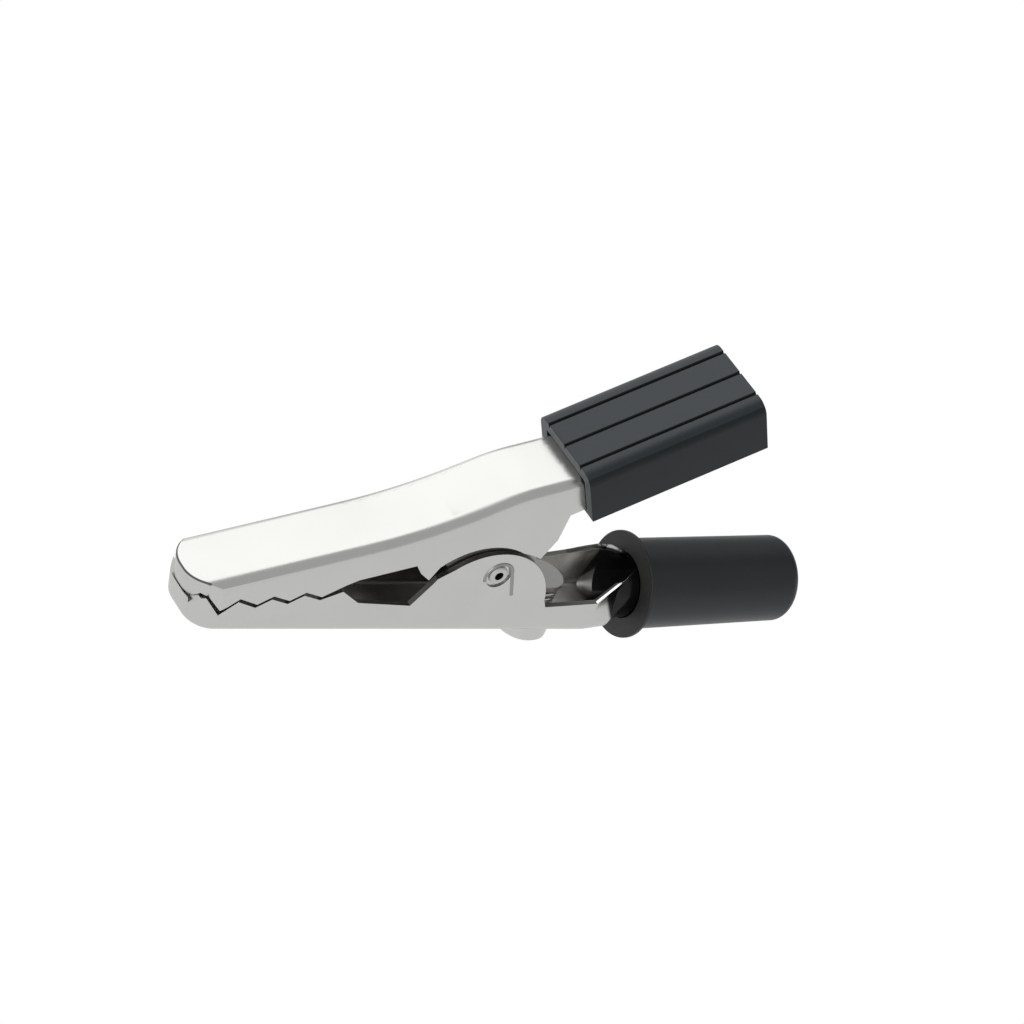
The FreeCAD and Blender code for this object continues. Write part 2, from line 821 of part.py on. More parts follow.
def revolve(body, name, sketch, axis):
    item = body.newObject("PartDesign::Revolution", name)
    item.Profile = sketch
    item.ReferenceAxis = (sketch, [axis])
    item.Angle = 360
    doc.recompute()
    return item


# Hollow rivet through the ears and the cheeks, its rims flared in the dishes.
rivet = new_body("pivot_rivet")
rim_foot = lower_half - s.dish_depth + s.play / 10
rim_face = rim_foot + s.rivet_rim
profile = [
    (s.rivet_bore, -rim_face),
    (s.rivet_head - s.rivet_edge, -rim_face),
    (s.rivet_head, -rim_face + s.rivet_edge),
    (s.rivet_head, -rim_foot),
    (s.rivet_radius, -rim_foot),
    (s.rivet_radius, rim_foot),
    (s.rivet_head, rim_foot),
    (s.rivet_head, rim_face - s.rivet_edge),
    (s.rivet_head - s.rivet_edge, rim_face),
    (s.rivet_bore, rim_face),
]
sketch = outline(rivet, "rivet_profile", "XY_Plane", profile)
revolve(rivet, "rivet_turn", sketch, "V_Axis")

# Compression spring between the cup and the seat.
spring = new_body("spring")
spring_foot = s.floor_z + s.metal - s.cup_depth
spring_room = cheek_foot - spring_foot
spring_rise = spring_room - s.spring_wire - s.play / 2
section = []
for i in range(values["spring_sides"]):
    angle = size(i) * 360 / s.spring_sides
    across = s.spring_radius + s.spring_wire / 2 * cosine(angle)
    section.append((across, s.spring_wire / 2 * sine(angle)))
sketch = outline(spring, "spring_wire_section", "XZ_Plane", section)
coil = spring.newObject("PartDesign::AdditiveHelix", "spring_coil")
coil.Profile = sketch
coil.ReferenceAxis = (sketch, ["V_Axis"])
coil.Mode = "height-turns-angle"
coil.setExpression("Height", spring_rise.text)
coil.setExpression("Turns", s.spring_turns.text)
place(spring, s.spring_x, spring_foot + s.spring_wire / 2 + s.play / 4)
doc.recompute()

# Thumb cap, drawn flat with its front top edge at the origin and turned to
# the lever's slope.
cap = new_body("thumb_cap")
half = s.cap_width / 2
block = [(0, -half), (s.cap_length, -half), (s.cap_length, half), (0, half)]
sketch = outline(cap, "cap_outline", "XY_Plane", block, lift=(0, 0, -s.cap_height))
feature(cap, "Pad", "cap_block", sketch, s.cap_height)


def long_top(edge):
    a, b = at(edge, 0), at(edge, 1)
    return abs(a.z) < 0.01 and abs(b.z) < 0.01 and abs(a.y - b.y) < 0.01


soften(cap, "cap_round", s.cap_round, long_top)
room_deep = s.cap_top_wall
room_foot = s.cap_height - s.lip_thick
room_end = s.cap_length - s.cap_end_wall
room_half = s.upper_width / 2 + s.cap_play
room = [
    (-room_half, -room_foot),
    (room_half, -room_foot),
    (room_half, -room_deep),
    (-room_half, -room_deep),
]
sketch = outline(cap, "cap_room", "YZ_Plane", room)
feature(cap, "Pocket", "cap_hollow", sketch, room_end, reverse=True)
slot_half = half - s.lip_width
slot = [
    (-slot_half, -s.cap_height - s.margin),
    (slot_half, -s.cap_height - s.margin),
    (slot_half, -room_foot + s.lip_thick),
    (-slot_half, -room_foot + s.lip_thick),
]
sketch = outline(cap, "cap_slot", "YZ_Plane", slot)
feature(cap, "Pocket", "cap_bottom_slot", sketch, room_end, reverse=True)
for i in (-1, 0, 1):
    middle = s.groove_step * i
    groove = [
        (middle - s.groove_width / 2, 0),
        (middle - s.groove_width / 2, s.margin),
        (middle + s.groove_width / 2, s.margin),
        (middle + s.groove_width / 2, 0),
        (middle, -s.groove_depth),
    ]
    sketch = outline(cap, "cap_groove_%d" % (i + 2), "YZ_Plane", groove)
    feature(cap, "Pocket", "cap_grooving_%d" % (i + 2), sketch, s.cap_length, reverse=True)


place(cap, s.cap_x, s.cap_z, -s.lever_angle)
doc.recompute()

# Insulating sleeve with its collar, turned about the socket's axis.
sleeve = new_body("socket_sleeve")
bore = tube_radius + s.sleeve_play
tube_room = s.tube_length + s.play
sleeve_length = s.tube_length + s.sleeve_stop
profile = [
    (0, bore),
    (0, s.collar_radius),
    (s.collar_thick, s.collar_radius),
    (s.collar_thick, s.sleeve_front_radius),
    (sleeve_length - s.sleeve_end_round, s.sleeve_rear_radius, s.sleeve_end_round, RIGHT),
    (sleeve_length, s.sleeve_end_radius),
    (sleeve_length, s.mouth_radius),
    (tube_room, s.mouth_radius),
    (tube_room, bore),
]
sketch = outline(sleeve, "sleeve_profile", "XZ_Plane", profile)
revolve(sleeve, "sleeve_turn", sketch, "H_Axis")
place(sleeve, s.socket_x, s.socket_z, -s.socket_tilt)
for body in (upper, lower, rivet):
    place(body, 0, 0)
doc.recompute()

for item in doc.Objects:
    if "Invalid" in item.State or "Error" in item.State:
        raise RuntimeError("failed: " + item.Name)
for body in (upper, lower, rivet, spring, cap, sleeve):
    shape = body.Shape
    if shape.isNull() or not shape.isValid() or len(shape.Solids) != 1:
        raise RuntimeError("bad solid: " + body.Label)
    shape.exportStep("parts/" + body.Label + ".step")
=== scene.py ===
import json
import math
import bmesh
import bpy
from mathutils import Matrix, Vector


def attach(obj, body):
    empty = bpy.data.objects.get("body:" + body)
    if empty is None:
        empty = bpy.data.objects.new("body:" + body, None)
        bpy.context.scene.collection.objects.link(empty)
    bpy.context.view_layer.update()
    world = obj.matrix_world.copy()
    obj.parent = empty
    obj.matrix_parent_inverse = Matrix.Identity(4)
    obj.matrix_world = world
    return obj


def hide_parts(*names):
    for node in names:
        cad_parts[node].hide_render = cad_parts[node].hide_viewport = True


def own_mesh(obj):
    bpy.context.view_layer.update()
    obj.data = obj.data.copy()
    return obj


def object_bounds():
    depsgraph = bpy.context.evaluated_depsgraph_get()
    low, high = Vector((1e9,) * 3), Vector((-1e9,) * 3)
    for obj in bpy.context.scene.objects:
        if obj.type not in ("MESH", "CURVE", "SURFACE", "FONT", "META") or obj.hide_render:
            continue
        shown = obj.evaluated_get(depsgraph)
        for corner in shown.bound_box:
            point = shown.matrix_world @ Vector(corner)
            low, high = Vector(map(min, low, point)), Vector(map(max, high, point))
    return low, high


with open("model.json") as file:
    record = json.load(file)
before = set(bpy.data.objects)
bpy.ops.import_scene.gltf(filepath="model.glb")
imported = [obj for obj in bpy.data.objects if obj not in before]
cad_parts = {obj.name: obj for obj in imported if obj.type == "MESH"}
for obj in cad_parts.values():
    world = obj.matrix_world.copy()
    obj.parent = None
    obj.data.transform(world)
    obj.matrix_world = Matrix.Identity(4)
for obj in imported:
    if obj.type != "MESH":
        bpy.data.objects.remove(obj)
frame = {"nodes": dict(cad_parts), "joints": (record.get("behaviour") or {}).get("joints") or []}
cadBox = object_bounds()
scene = bpy.context.scene
mm = 0.001
pivot = Vector(frame["joints"][0]["pos_m"])  # the sizes below are measured from the pivot
tubeMouth = -pivot  # the frame's origin is the middle of the plug tube's mouth
print("frame loaded")


# Shader maths: a wire is one socket, and an expression on wires adds its nodes.
class Wire:
    def __init__(self, tree, socket):
        self.tree = tree
        self.socket = socket

    def maths(self, operation, left, right):
        return self.node("ShaderNodeMath", {"operation": operation}, {0: left, 1: right})

    def node(self, kind, settings, values, output=0):
        made = self.tree.nodes.new(kind)
        for name, value in settings.items():
            setattr(made, name, value)
        for name, value in values.items():
            plug(self.tree, made.inputs[name], value)
        return Wire(self.tree, made.outputs[output])

    def __add__(self, other):
        return self.maths("ADD", self, other)

    def __radd__(self, other):
        return self.maths("ADD", other, self)

    def __sub__(self, other):
        return self.maths("SUBTRACT", self, other)

    def __rsub__(self, other):
        return self.maths("SUBTRACT", other, self)

    def __mul__(self, other):
        return self.maths("MULTIPLY", self, other)

    def __rmul__(self, other):
        return self.maths("MULTIPLY", other, self)

    def __abs__(self):
        return self.maths("ABSOLUTE", self, 0)


def plug(tree, socket, value):
    if isinstance(value, Wire):
        tree.links.new(value.socket, socket)
    else:
        socket.default_value = value


# A new material: its shader, and the wire of the piece's own coordinates.
def newFinish(name, fixed):
    material = bpy.data.materials.new(name)
    material.use_nodes = True
    tree = material.node_tree
    shader = tree.nodes["Principled BSDF"]
    for socket, value in fixed.items():
        shader.inputs[socket].default_value = value
    place = tree.nodes.new("ShaderNodeTexCoord")
    return material, tree, shader, Wire(tree, place.outputs["Object"])


def noiseOn(place, scale, detail, rough=0.5):
    values = {"Vector": place, "Scale": scale, "Detail": detail, "Roughness": rough}
    return place.node("ShaderNodeTexNoise", {}, values, "Fac")


def stretched(place, scale, turn):
    values = {"Vector": place, "Scale": scale, "Rotation": turn}
    return place.node("ShaderNodeMapping", {"vector_type": "TEXTURE"}, values)


# The Mix node has a socket of each name for each kind of data: these are the colours'.
mixColours = {"factor": 0, "low": 6, "high": 7, "result": 2}


def blendColours(factor, low, high):
    low, high = (end if isinstance(end, Wire) else (*end, 1) for end in (low, high))
    values = {mixColours["factor"]: factor, mixColours["low"]: low, mixColours["high"]: high}
    return factor.node("ShaderNodeMix", {"data_type": "RGBA"}, values, mixColours["result"])


def ramped(value, low, high):
    limits = {"Value": value, "From Min": low, "From Max": high}
    return value.node("ShaderNodeMapRange", {"interpolation_type": "SMOOTHSTEP"}, limits)


def rough(place, height, strength, depth):
    values = {"Height": height, "Strength": strength, "Distance": depth}
    return place.node("ShaderNodeBump", {}, values, "Normal")


nickelLook = {
    "pale": (0.745, 0.745, 0.722),
    "dull": (0.685, 0.685, 0.665),
    # the colour that the darkening masks paint as shade
    "paintedShade": (0.04, 0.04, 0.039),
    "roughness": 0.24,
    "roughnessSpread": 0.10,
    "cloudsPerMetre": 260,
    "grainPerMetre": 9000,
    "grainDepth": 0.01 * mm,
    "grainStrength": 0.35,
    "rubSize": (20 * mm, 2 * mm, 2 * mm),
    "rubTurn": (0, 0, 0.4),
    "rubsPerSize": 9,
    "rubDepth": 0.6,
}
# The pressings are rougher on their inner side, with a painted sheen along the tail
# and painted shade elsewhere; the cut edges get painted shade, and the plug tube's cut edge a
# painted highlight.
insideSheenLook = dict(
    nickelLook, pale=(0.86, 0.85, 0.82), dull=(0.62, 0.61, 0.59), roughness=0.34)
# Painted shade: the cut edges that face each other across the jaws are painted dark.
edgeShadeLook = dict(
    nickelLook, pale=(0.26, 0.26, 0.255), dull=(0.17, 0.17, 0.165), roughness=0.42)
# Painted highlight: the bright colour of the throat's cut edge.
highlightLook = dict(nickelLook, pale=(0.97, 0.97, 0.96), dull=(0.9, 0.9, 0.89), roughness=0.14)
# Painted shade: the dark colour of the fold round the nose, the rivet's bore and the tail's
# rims.
creaseShadeLook = dict(
    nickelLook, pale=(0.15, 0.15, 0.147), dull=(0.09, 0.09, 0.088), roughness=0.4)
# Painted shade: the darker colour of the stamped hook.
stampShadeLook = dict(
    nickelLook, pale=(0.42, 0.42, 0.41), dull=(0.34, 0.34, 0.33), roughness=0.3)


# Darkening turns a place on the sheet into the share of its painted shade.
def makeNickel(name, look, darkening=None):
    material, tree, shader, place = newFinish(name, {"Metallic": 1.0})
    clouds = noiseOn(place, look["cloudsPerMetre"], detail=4, rough=0.55)
    grain = noiseOn(place, look["grainPerMetre"], detail=3, rough=0.6)
    strokes = stretched(place, look["rubSize"], look["rubTurn"])
    rubbed = noiseOn(strokes, look["rubsPerSize"], detail=3)
    colour = blendColours(clouds, look["dull"], look["pale"])
    if darkening:
        colour = blendColours(darkening(place), colour, look["paintedShade"])
    plug(tree, shader.inputs["Base Color"], colour)
    shine = look["roughness"] + (clouds * 0.5 + rubbed * 0.5 - 0.5) * look["roughnessSpread"]
    plug(tree, shader.inputs["Roughness"], shine)
    height = grain + rubbed * look["rubDepth"]
    bump = rough(place, height, look["grainStrength"], look["grainDepth"])
    plug(tree, shader.inputs["Normal"], bump)
    return material


springLook = dict(nickelLook, pale=(0.86, 0.855, 0.83), dull=(0.7, 0.695, 0.67), roughness=0.16)

capLook = {
    "black": (0.0065, 0.0125, 0.0155),
    "worn": (0.0125, 0.0212, 0.0258),
    "roughness": 0.32,
    "roughnessSpread": 0.10,
    "cloudsPerMetre": 400,
    "grainPerMetre": 12000,
    "grainDepth": 0.02 * mm,
    "grainStrength": 0.3,
}
# The cap's grooves are painted blacker as painted shade, and its sides are duller and painted
# darker as painted shade.
grooveShadeLook = dict(
    capLook, black=(0.001, 0.0012, 0.0014), worn=(0.003, 0.0033, 0.0036), roughness=0.7)
sideShadeLook = dict(capLook, black=(0.004, 0.0068, 0.008), worn=(0.008, 0.0122, 0.0142))
sleeveLook = dict(
    capLook, black=(0.0048, 0.0078, 0.0092), worn=(0.0095, 0.0142, 0.0162), roughness=0.36)
collarLook = dict(
    sleeveLook, black=(0.006, 0.006, 0.0058), worn=(0.045, 0.046, 0.043), roughness=0.55)


def makePlastic(name, look, gloss=0.5):
    material, tree, shader, place = newFinish(name, {"IOR": 1.5, "Specular IOR Level": gloss})
    clouds = noiseOn(place, look["cloudsPerMetre"], detail=4, rough=0.6)
    grain = noiseOn(place, look["grainPerMetre"], detail=2, rough=0.6)
    plug(tree, shader.inputs["Base Color"], blendColours(clouds, look["black"], look["worn"]))
    shine = look["roughness"] + (clouds - 0.5) * look["roughnessSpread"]
    plug(tree, shader.inputs["Roughness"], shine)
    bump = rough(place, grain, look["grainStrength"], look["grainDepth"])
    plug(tree, shader.inputs["Normal"], bump)
    return material


# Where painted shade darkens the lower jaw's sheet, along the tail and across its tube's start,
# and where a painted highlight lies on the tube's cut edge.
throat = {
    "lean": 0.585,
    "light": 9.7 * mm,
    "dark": 10.05 * mm,
    "narrowing": 0.417,
    "highlightFrom": 6.78 * mm,
    "highlightTo": 6.86 * mm,
    "farHighlightFrom": 12.0 * mm,
    "farHighlightTo": 12.6 * mm,
    "lightFrom": 4 * mm,
    "lightTo": 8 * mm,
    "frontShade": 0.41,
    "shadeFrom": 11.5 * mm,
    "shadeTo": 12.6 * mm,
    "shade": 0.66,
}


def partsOf(place):
    return [place.node("ShaderNodeSeparateXYZ", {}, {0: place}, k) for k in range(3)]


# The inner side gets painted shade between the jaws, and where the tail narrows into its tube.
def overInsideShade(place):
    x, y, z = partsOf(place)
    along = x - pivot.x
    front = (1 - ramped(along, throat["lightFrom"], throat["lightTo"])) * throat["frontShade"]
    return front + ramped(along, throat["shadeFrom"], throat["shadeTo"]) * throat["shade"]


# The outside of the throat is painted dark, as painted shade, behind a line that leans with the
# collar.
def overThroatShade(place):
    x, y, z = partsOf(place)
    along = (x - pivot.x) + (z - pivot.z) * throat["lean"]
    return ramped(along, throat["light"], throat["dark"])


# Painted highlight on the outer half of the throat's cut edge, on the far side from
# the tube's start; the rest of the edge gets painted shade.
def overEdgeHighlight(place):
    x, y, z = partsOf(place)
    along = x - pivot.x
    out = abs(y) + along * throat["narrowing"]
    before = 1 - ramped(along, throat["farHighlightFrom"], throat["farHighlightTo"])
    bright = ramped(out, throat["highlightFrom"], throat["highlightTo"])
    return 1 - bright * (1 - ramped(y, 0, mm) * before)


insideSheenShadeNickel = makeNickel("insideSheenShadeNickel", insideSheenLook, overInsideShade)
edgeShadeNickel = makeNickel("edgeShadeNickel", edgeShadeLook)
stampShadeNickel = makeNickel("stampShadeNickel", stampShadeLook)
highlightNickel = makeNickel("highlightNickel", highlightLook, overEdgeHighlight)
throatShadeNickel = makeNickel("throatShadeNickel", nickelLook, overThroatShade)
creaseShadeNickel = makeNickel("creaseShadeNickel", creaseShadeLook)
grooveShadePlastic = makePlastic("grooveShadePlastic", grooveShadeLook)
sideShadePlastic = makePlastic("sideShadePlastic", sideShadeLook, gloss=0.34)
collarPlastic = makePlastic("collarPlastic", collarLook)
finishes = {
    "nickel_sheet": makeNickel("satinNickel", nickelLook),
    "nickel_rivet": makeNickel("rivetNickel", dict(nickelLook, roughness=0.66)),
    "spring_steel": makeNickel("springWire", springLook),
    "black_cap": makePlastic("capPlastic", capLook),
    "black_sleeve": makePlastic("sleevePlastic", sleeveLook),
}
print("finishes made")


# Both jaws' sheet, and where the lower one's parts begin.
sheetMetal = {
    "thick": 0.45 * mm,
    "upperHalf": 2.85 * mm,
    "lowerHalf": 2.8 * mm,
    "floor": -5.4 * mm,
    "noseEnd": -21.8 * mm,
    "tailStart": 5.4 * mm,
    "throatStart": 10.15 * mm,
    "tubeTilt": math.radians(3),
    "reach": 0.05 * mm,
}


# How far a normal points a way when its face counts as facing it, as leaning
# to it at all, or as standing on edge to it.
facing = {"well": 0.5, "barely": 0.1, "onEdge": 0.3}


# Where a face lies on the folded sheet. The place is measured from the pivot.
def onNose(place, normal):
    return place.x < sheetMetal["noseEnd"] and normal.x < -facing["barely"]


def insideUpper(place, normal):
    between = abs(place.y) < sheetMetal["upperHalf"] - sheetMetal["thick"] + sheetMetal["reach"]
    return between and normal.z < facing["well"] and not onNose(place, normal)


def edgeUpper(place, normal):
    beside = abs(place.y) > sheetMetal["upperHalf"] - sheetMetal["thick"]
    cut = abs(normal.y) < facing["onEdge"] and normal.z < facing["barely"]
    return beside and cut and not onNose(place, normal)


def spokeOf(place):
    along = Vector((math.cos(sheetMetal["tubeTilt"]), 0, math.sin(sheetMetal["tubeTilt"])))
    spoke = place - tubeMouth
    return (spoke - along * spoke.dot(along)).normalized()


def insideLower(place, normal):
    if place.x > sheetMetal["throatStart"]:
        return normal.dot(spokeOf(place)) < -facing["well"]
    deep = place.z > sheetMetal["floor"] + sheetMetal["thick"] - sheetMetal["reach"]
    between = abs(place.y) < sheetMetal["lowerHalf"] - sheetMetal["thick"] + sheetMetal["reach"]
    return between and deep and not onNose(place, normal)


def edgeLower(place, normal):
    beside = abs(place.y) > sheetMetal["lowerHalf"] - sheetMetal["thick"]
    cut = abs(normal.y) < facing["onEdge"] and normal.z > 0
    ahead = place.x < sheetMetal["throatStart"]
    return beside and cut and ahead and not onNose(place, normal)


# The rims of the tail's walls.
def edgeOfTail(place, normal):
    return edgeLower(place, normal) and place.x > sheetMetal["tailStart"]


def edgeOfThroat(place, normal):
    along = abs(normal.dot(spokeOf(place))) < facing["well"]
    return place.x > sheetMetal["throatStart"] and along


def throatOfLower(place, normal):
    return place.x > sheetMetal["throatStart"]


dressing = {"weld": 0.001 * mm, "flat": math.radians(0.4), "sharp": math.radians(28)}


# A finer copy of a solid: flat faces whole again, edges rounded, shading smooth.
# Each of the others is a test of a face and the finish that the face gets.
def dressed(node, name, body, slot, edge, segments=2, others=(), shaped=None):
    mesh = bpy.data.meshes.new(name)
    form = bmesh.new()
    form.from_mesh(frame["nodes"][node].data)
    bmesh.ops.remove_doubles(form, verts=form.verts, dist=dressing["weld"])
    bmesh.ops.dissolve_limit(
        form, angle_limit=dressing["flat"], verts=form.verts, edges=form.edges,
        use_dissolve_boundaries=False, delimit={"NORMAL"})
    for face in form.faces:
        face.smooth = True
        place = face.calc_center_median() - pivot
        fitting = (i for i, (test, finish) in enumerate(others, 1) if test(place, face.normal))
        face.material_index = next(fitting, 0)
    if shaped:
        shaped(form)
    for line in form.edges:
        line.smooth = len(line.link_faces) == 2 and line.calc_face_angle() < dressing["sharp"]
    form.to_mesh(mesh)
    form.free()
    piece = bpy.data.objects.new(name, mesh)
    scene.collection.objects.link(piece)
    mesh.materials.append(finishes[slot])
    for test, finish in others:
        mesh.materials.append(finish)
    rounding = piece.modifiers.new("edgeRounding", "BEVEL")
    rounding.width = edge
    rounding.segments = segments
    rounding.limit_method = "ANGLE"
    rounding.angle_limit = dressing["sharp"]
    rounding.miter_outer = "MITER_ARC"
    rounding.harden_normals = True
    rounding.use_clamp_overlap = True
    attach(piece, body)
    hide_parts(node)


# A round wire along a line of points; each point has two directions across.
def sweep(form, points, radius, sides, finish=0):
    rings = []
    for middle, out, up in points:
        corners = [math.tau * k / sides for k in range(sides)]
        ring = [middle + (out * math.cos(a) + up * math.sin(a)) * radius for a in corners]
        rings.append([form.verts.new(point) for point in ring])
    wire = [form.faces.new(rings[0][::-1]), form.faces.new(rings[-1])]
    for low, high in zip(rings, rings[1:]):
        for k in range(sides):
            after = (k + 1) % sides
            wire.append(form.faces.new((low[k], low[after], high[after], high[k])))
            wire[-1].smooth = True
    for face in wire:
        face.material_index = finish
    bmesh.ops.recalc_face_normals(form, faces=wire)


# The hook's middle and the end of its tail lie across and up from the pivot.
hook = {
    "radius": 1.12 * mm,
    "middle": (0.0, -0.05 * mm),
    "start": math.radians(205),
    "end": math.radians(20),
    "steps": 24,
    "tail": (1.95 * mm, -1.75 * mm),
    "wire": 0.16 * mm,
    "sides": 12,
    "proud": 0.1 * mm,
    "finish": 6,
}

# All in mm: how far the far wall is stretched up at places along the tail, the
# heights where that begins and where it is whole, and how far aside the wall is.
farWall = {
    "stretch": ((5.5, 0.1), (10.2, 0.52), (11.5, 0.95), (12.3, 0.85), (13.1, 0.62),
                (13.7, 0.3), (14.0, 0.0)),
    "foot": -4.5,
    "whole": -2.5,
    "aside": 1.0,
}


# The tail's far wall stands higher than the near one.
def raiseFarWall(form):
    ends = list(zip(farWall["stretch"], farWall["stretch"][1:]))
    for corner in form.verts:
        place = (corner.co - pivot) / mm
        if place.y < farWall["aside"] or place.z < farWall["foot"]:
            continue
        share = (place.z - farWall["foot"]) / (farWall["whole"] - farWall["foot"])
        for (low, less), (high, more) in ends:
            if low <= place.x < high:
                rise = less + (more - less) * (place.x - low) / (high - low)
                corner.co.z += rise * mm * min(share, 1)


# The hook stamped in each ear, over the pivot and down behind it, painted darker as painted
# shade.
def stampHooks(form):
    across, up = hook["middle"]
    outward = Vector((0, 1, 0))
    path = []
    for i in range(hook["steps"] + 1):
        turn = hook["start"] + (hook["end"] - hook["start"]) * i / hook["steps"]
        path.append((across + hook["radius"] * math.cos(turn),
                     up + hook["radius"] * math.sin(turn)))
    path.append(hook["tail"])
    for side in (-1, 1):
        face = side * (sheetMetal["lowerHalf"] + hook["proud"] - hook["wire"])
        points = []
        for i, (x, z) in enumerate(path):
            before, after = path[max(i - 1, 0)], path[min(i + 1, len(path) - 1)]
            way = Vector((after[0] - before[0], 0, after[1] - before[1])).normalized()
            points.append((pivot + Vector((x, face, z)), way.cross(outward), outward))
        sweep(form, points, hook["wire"], hook["sides"], hook["finish"])


def shapeLower(form):
    raiseFarWall(form)
    stampHooks(form)


# For a finish that only the shaping gives.
def noFace(place, normal):
    return False


# The long bends between the web and the flanges, and the crease round the nose.
bend = {
    "radius": 0.8 * mm,
    "proud": 0.006 * mm,
    "neck": (-12.0 * mm, 2.42 * mm),
    "valley": 43.855 * mm,
    "from": math.radians(17.1),
    "to": math.radians(29.2),
    "rows": 30,
    "columns": 14,
    "webFrom": 0.85,
    "wallBelow": 0.6,
    "crease": 0.11 * mm,
    "creaseSegments": 3,
    "creaseEnd": -20.5 * mm,
    "creaseShadeFinish": 3,
}


# The sheet's long bends rise in a shallow valley behind the nose: a finer skin
# of the same round. The fold round the nose is sharper, and painted dark as painted shade.
def bendUpper(form):
    fold = []
    for line in form.edges:
        normals = [face.normal for face in line.link_faces]
        web = any(way.z > bend["webFrom"] for way in normals)
        wall = any(way.x < -facing["barely"] and way.z < bend["wallBelow"] for way in normals)
        ahead = all(corner.co.x - pivot.x < bend["creaseEnd"] for corner in line.verts)
        if web and wall and ahead:
            fold.append(line)
    bmesh.ops.bevel(
        form, geom=fold, offset=bend["crease"], segments=bend["creaseSegments"], profile=0.5,
        affect="EDGES", material=bend["creaseShadeFinish"])
    across = bend["neck"][0] - bend["valley"] * math.sin(bend["from"])
    up = bend["neck"][1] + bend["valley"] * math.cos(bend["from"])
    radius = bend["radius"] + bend["proud"]
    for side in (-1, 1):
        rows = []
        for i in range(bend["rows"] + 1):
            slope = bend["from"] + (bend["to"] - bend["from"]) * i / bend["rows"]
            row = []
            for k in range(bend["columns"] + 1):
                turn = math.pi / 2 * k / bend["columns"]
                aside = sheetMetal["upperHalf"] - bend["radius"] + radius * math.cos(turn)
                far = bend["valley"] + bend["radius"] - radius * math.sin(turn)
                place = Vector((across + far * math.sin(slope), side * aside,
                                up - far * math.cos(slope)))
                row.append(form.verts.new(pivot + place))
            rows.append(row)
        for low, high in zip(rows, rows[1:]):
            for k in range(bend["columns"]):
                corners = (low[k], high[k], high[k + 1], low[k + 1])
                form.faces.new(corners if side < 0 else corners[::-1]).smooth = True


rivetBore = 0.5 * mm  # what lies nearer to the rivet's axis is its bore

# The cap's top leans back, and starts across and up from the pivot.
capTop = {
    "angle": math.radians(30),
    "start": (2.68 * mm, 9.79 * mm),
    "grooveFrom": 0.03 * mm,
    "grooveTo": 0.6 * mm,
    "half": 3.0 * mm,
    "grooveStep": 2.4 * mm,
    "grooveReach": 0.3 * mm,
    "grooveHalf": 0.13 * mm,
    "grooveWalls": (0.2, 0.95),
    "sideFrom": 0.8,
}
capUp = Vector((-math.sin(capTop["angle"]), 0, math.cos(capTop["angle"])))


def depthInCap(place):
    return (Vector((capTop["start"][0], 0, capTop["start"][1])) - place).dot(capUp)


# The walls of the grooves lie below the cap's top.
def grooveOfCap(place, normal):
    low, high = capTop["grooveWalls"]
    sunk = capTop["grooveFrom"] < depthInCap(place) < capTop["grooveTo"]
    return sunk and abs(place.y) < capTop["half"] and low < normal.dot(capUp) < high


def sideOfCap(place, normal):
    return abs(normal.y) > capTop["sideFrom"]


# The lips of the grooves stand closer together.
def narrowGrooves(form):
    for corner in form.verts:
        place = corner.co - pivot
        middle = round(place.y / capTop["grooveStep"]) * capTop["grooveStep"]
        aside = place.y - middle
        lip = abs(middle) < capTop["half"] and abs(aside) < capTop["grooveReach"]
        if lip and abs(depthInCap(place)) < capTop["grooveFrom"]:
            corner.co.y = middle + math.copysign(capTop["grooveHalf"], aside)


def boreOfRivet(place, normal):
    return math.hypot(place.x, place.z) < rivetBore and abs(normal.y) < facing["well"]


def faceOfCollar(place, normal):
    return normal.x < -facing["well"]


dressed(
    "upper_jaw", "upperJaw", "upper_part", "nickel_sheet", 0.05 * mm, shaped=bendUpper,
    others=((insideUpper, insideSheenShadeNickel), (edgeUpper, edgeShadeNickel), (noFace, creaseShadeNickel)))
dressed(
    "lower_jaw", "lowerJaw", "lower_part", "nickel_sheet", 0.05 * mm, shaped=shapeLower,
    others=((insideLower, insideSheenShadeNickel), (edgeOfTail, creaseShadeNickel), (edgeLower, edgeShadeNickel),
            (edgeOfThroat, highlightNickel), (throatOfLower, throatShadeNickel), (noFace, stampShadeNickel)))
dressed(
    "pivot_rivet", "pivotRivet", "lower_part", "nickel_rivet", 0.03 * mm,
    others=((boreOfRivet, creaseShadeNickel),))
dressed(
    "thumb_cap", "thumbCap", "upper_part", "black_cap", 0.05 * mm, shaped=narrowGrooves,
    others=((grooveOfCap, grooveShadePlastic), (sideOfCap, sideShadePlastic)))
dressed(
    "socket_sleeve", "socketSleeve", "lower_part", "black_sleeve", 0.1 * mm, segments=3,
    others=((faceOfCollar, collarPlastic),))

coil = {
    "centre": 6.5 * mm,
    "foot": -6.45 * mm,
    "head": -2.48 * mm,
    "radius": 1.42 * mm,
    "wire": 0.17 * mm,
    "turns": 7.5,
    "closedTurns": 1.0,
    "stepsPerTurn": 40,
    "wireSides": 12,
    "pressed": 0.62,
}


# The height of the wire along its turns: the end turns lie closed.
def coilHeight(turn):
    closed, turns, wire = coil["closedTurns"], coil["turns"], coil["wire"]
    low, high = coil["foot"] + wire, coil["head"] - wire
    climb = 2 * wire * closed
    if turn < closed:
        return low + climb * turn / closed
    if turn > turns - closed:
        return high - climb * (turns - turn) / closed
    middle = (turn - closed) / (turns - 2 * closed)
    return low + climb + (high - low - 2 * climb) * middle


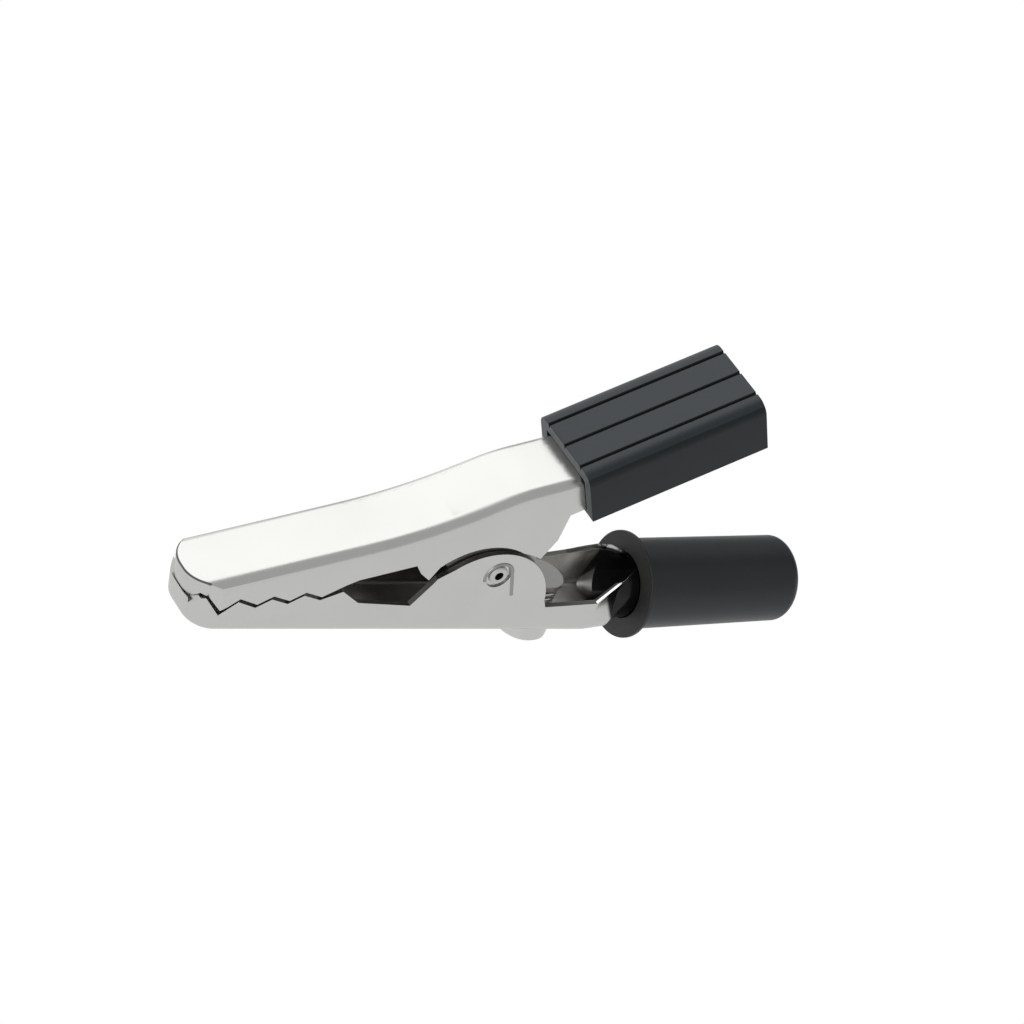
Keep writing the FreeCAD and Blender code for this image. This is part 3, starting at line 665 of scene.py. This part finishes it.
def makeSpring():
    form = bmesh.new()
    points = []
    for i in range(round(coil["turns"] * coil["stepsPerTurn"]) + 1):
        turn = i / coil["stepsPerTurn"]
        out = Vector((math.cos(turn * math.tau), math.sin(turn * math.tau), 0))
        middle = pivot + Vector((coil["centre"], 0, coilHeight(turn))) + out * coil["radius"]
        points.append((middle, out, Vector((0, 0, 1))))
    sweep(form, points, coil["wire"], coil["wireSides"])
    mesh = bpy.data.meshes.new("closingSpring")
    form.to_mesh(mesh)
    form.free()
    mesh.materials.append(finishes["spring_steel"])
    piece = bpy.data.objects.new("closingSpring", mesh)
    scene.collection.objects.link(piece)
    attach(piece, "lower_part")
    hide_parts("spring")
    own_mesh(piece)


makeSpring()
print("pieces dressed")


view = {
    "azimuth": -43.7867,
    "elevation": 30.0789,
    "roll": 26.7266,
    "distance": 340.28 * mm,
    "aside": 2.2114 * mm,
    "above": 2.7972 * mm,
    "lens": 166.53,
    "nearest": 10 * mm,
}


def makeCamera():
    turn, lift, roll = (math.radians(view[k]) for k in ("azimuth", "elevation", "roll"))
    back = Vector((
        math.sin(turn) * math.cos(lift), -math.cos(turn) * math.cos(lift), math.sin(lift)))
    level = Vector((math.cos(turn), math.sin(turn), 0))
    upright = back.cross(level)
    right = level * math.cos(roll) + upright * math.sin(roll)
    top = back.cross(right)
    data = bpy.data.cameras.new("camera")
    data.lens = view["lens"]
    data.clip_start = view["nearest"]
    camera = bpy.data.objects.new("camera", data)
    place = pivot + back * view["distance"] + right * view["aside"] + top * view["above"]
    camera.matrix_world = Matrix((
        (right.x, top.x, back.x, place.x),
        (right.y, top.y, back.y, place.y),
        (right.z, top.z, back.z, place.z),
        (0, 0, 0, 1)))
    scene.collection.objects.link(camera)
    scene.camera = camera


studio = {
    "floorHalf": 3000 * mm,
    "floorDrop": 70 * mm,
    "floorShade": 0.8,
    "floorSpread": 0.01,
    "floorCloudsPerMetre": 60,
    "worldShade": 0.8,
    "mirroredSky": 1.0,
    "dimSides": (
        {"way": (0.28, -0.62, 0.73), "from": 0.5, "to": 0.8, "by": 0.57},
        {"way": (0.85, 0.45, 0.25), "from": 0.68, "to": 0.8, "by": 0.7},
    ),
    "topLight": {"place": (20 * mm, 150 * mm, 200 * mm), "size": 240 * mm, "watts": 0.05},
    "nearLight": {"place": (-150 * mm, -190 * mm, 70 * mm), "size": 160 * mm, "watts": 0.05},
}


def rayKind(tree, kind):
    return Wire(tree, tree.nodes.new("ShaderNodeLightPath").outputs[kind])


# The world is white to the camera, and a bright room to what mirrors it,
# dimmer where the photographer stands and behind the clip's tail.
def makeWorld():
    world = bpy.data.worlds.new("studio")
    world.use_nodes = True
    scene.world = world
    tree = world.node_tree
    way = Wire(tree, tree.nodes.new("ShaderNodeTexCoord").outputs["Generated"])
    mirrored = studio["mirroredSky"]
    for side in studio["dimSides"]:
        aim = {0: way, 1: Vector(side["way"]).normalized()}
        towards = way.node("ShaderNodeVectorMath", {"operation": "DOT_PRODUCT"}, aim, "Value")
        mirrored = mirrored - ramped(towards, side["from"], side["to"]) * side["by"]
    glossy = rayKind(tree, "Is Glossy Ray")
    plain = rayKind(tree, "Is Camera Ray") + rayKind(tree, "Is Transmission Ray")
    rest = 1 - plain - glossy
    shade = tree.nodes["Background"]
    shade.inputs["Color"].default_value = (1, 1, 1, 1)
    plug(tree, shade.inputs["Strength"], plain + glossy * mirrored + rest * studio["worldShade"])


# The floor lights the clip and shows in what mirrors it, but not to the camera.
def makeFloor():
    form = bmesh.new()
    bmesh.ops.create_grid(form, x_segments=1, y_segments=1, size=studio["floorHalf"])
    bmesh.ops.translate(form, verts=form.verts, vec=(0, 0, cadBox[0][2] - studio["floorDrop"]))
    mesh = bpy.data.meshes.new("floor")
    form.to_mesh(mesh)
    form.free()
    floor = bpy.data.objects.new("floor", mesh)
    scene.collection.objects.link(floor)
    material, tree, shader, place = newFinish("floorPaper", {"Roughness": 0.9})
    clouds = noiseOn(place, studio["floorCloudsPerMetre"], detail=3)
    dull, pale = ([studio["floorShade"] + way * studio["floorSpread"]] * 3 for way in (-1, 1))
    plug(tree, shader.inputs["Base Color"], blendColours(clouds, dull, pale))
    clear = place.node("ShaderNodeBsdfTransparent", {}, {"Color": (1, 1, 1, 1)})
    seen = rayKind(tree, "Is Camera Ray") + rayKind(tree, "Is Transmission Ray")
    paper = Wire(tree, shader.outputs[0])
    shown = place.node("ShaderNodeMixShader", {}, {0: seen, 1: paper, 2: clear})
    tree.links.new(shown.socket, tree.nodes["Material Output"].inputs[0])
    mesh.materials.append(material)


def makeLamps():
    for name in ("topLight", "nearLight"):
        settings = studio[name]
        data = bpy.data.lights.new(name, "AREA")
        data.shape = "DISK"
        data.size = settings["size"]
        data.energy = settings["watts"]
        lamp = bpy.data.objects.new(name, data)
        lamp.location = pivot + Vector(settings["place"])
        aim = pivot - lamp.location
        lamp.rotation_euler = aim.to_track_quat("-Z", "Y").to_euler()
        scene.collection.objects.link(lamp)


makeCamera()
makeWorld()
makeFloor()
makeLamps()
scene.view_settings.view_transform = "Standard"
print("camera and studio set")
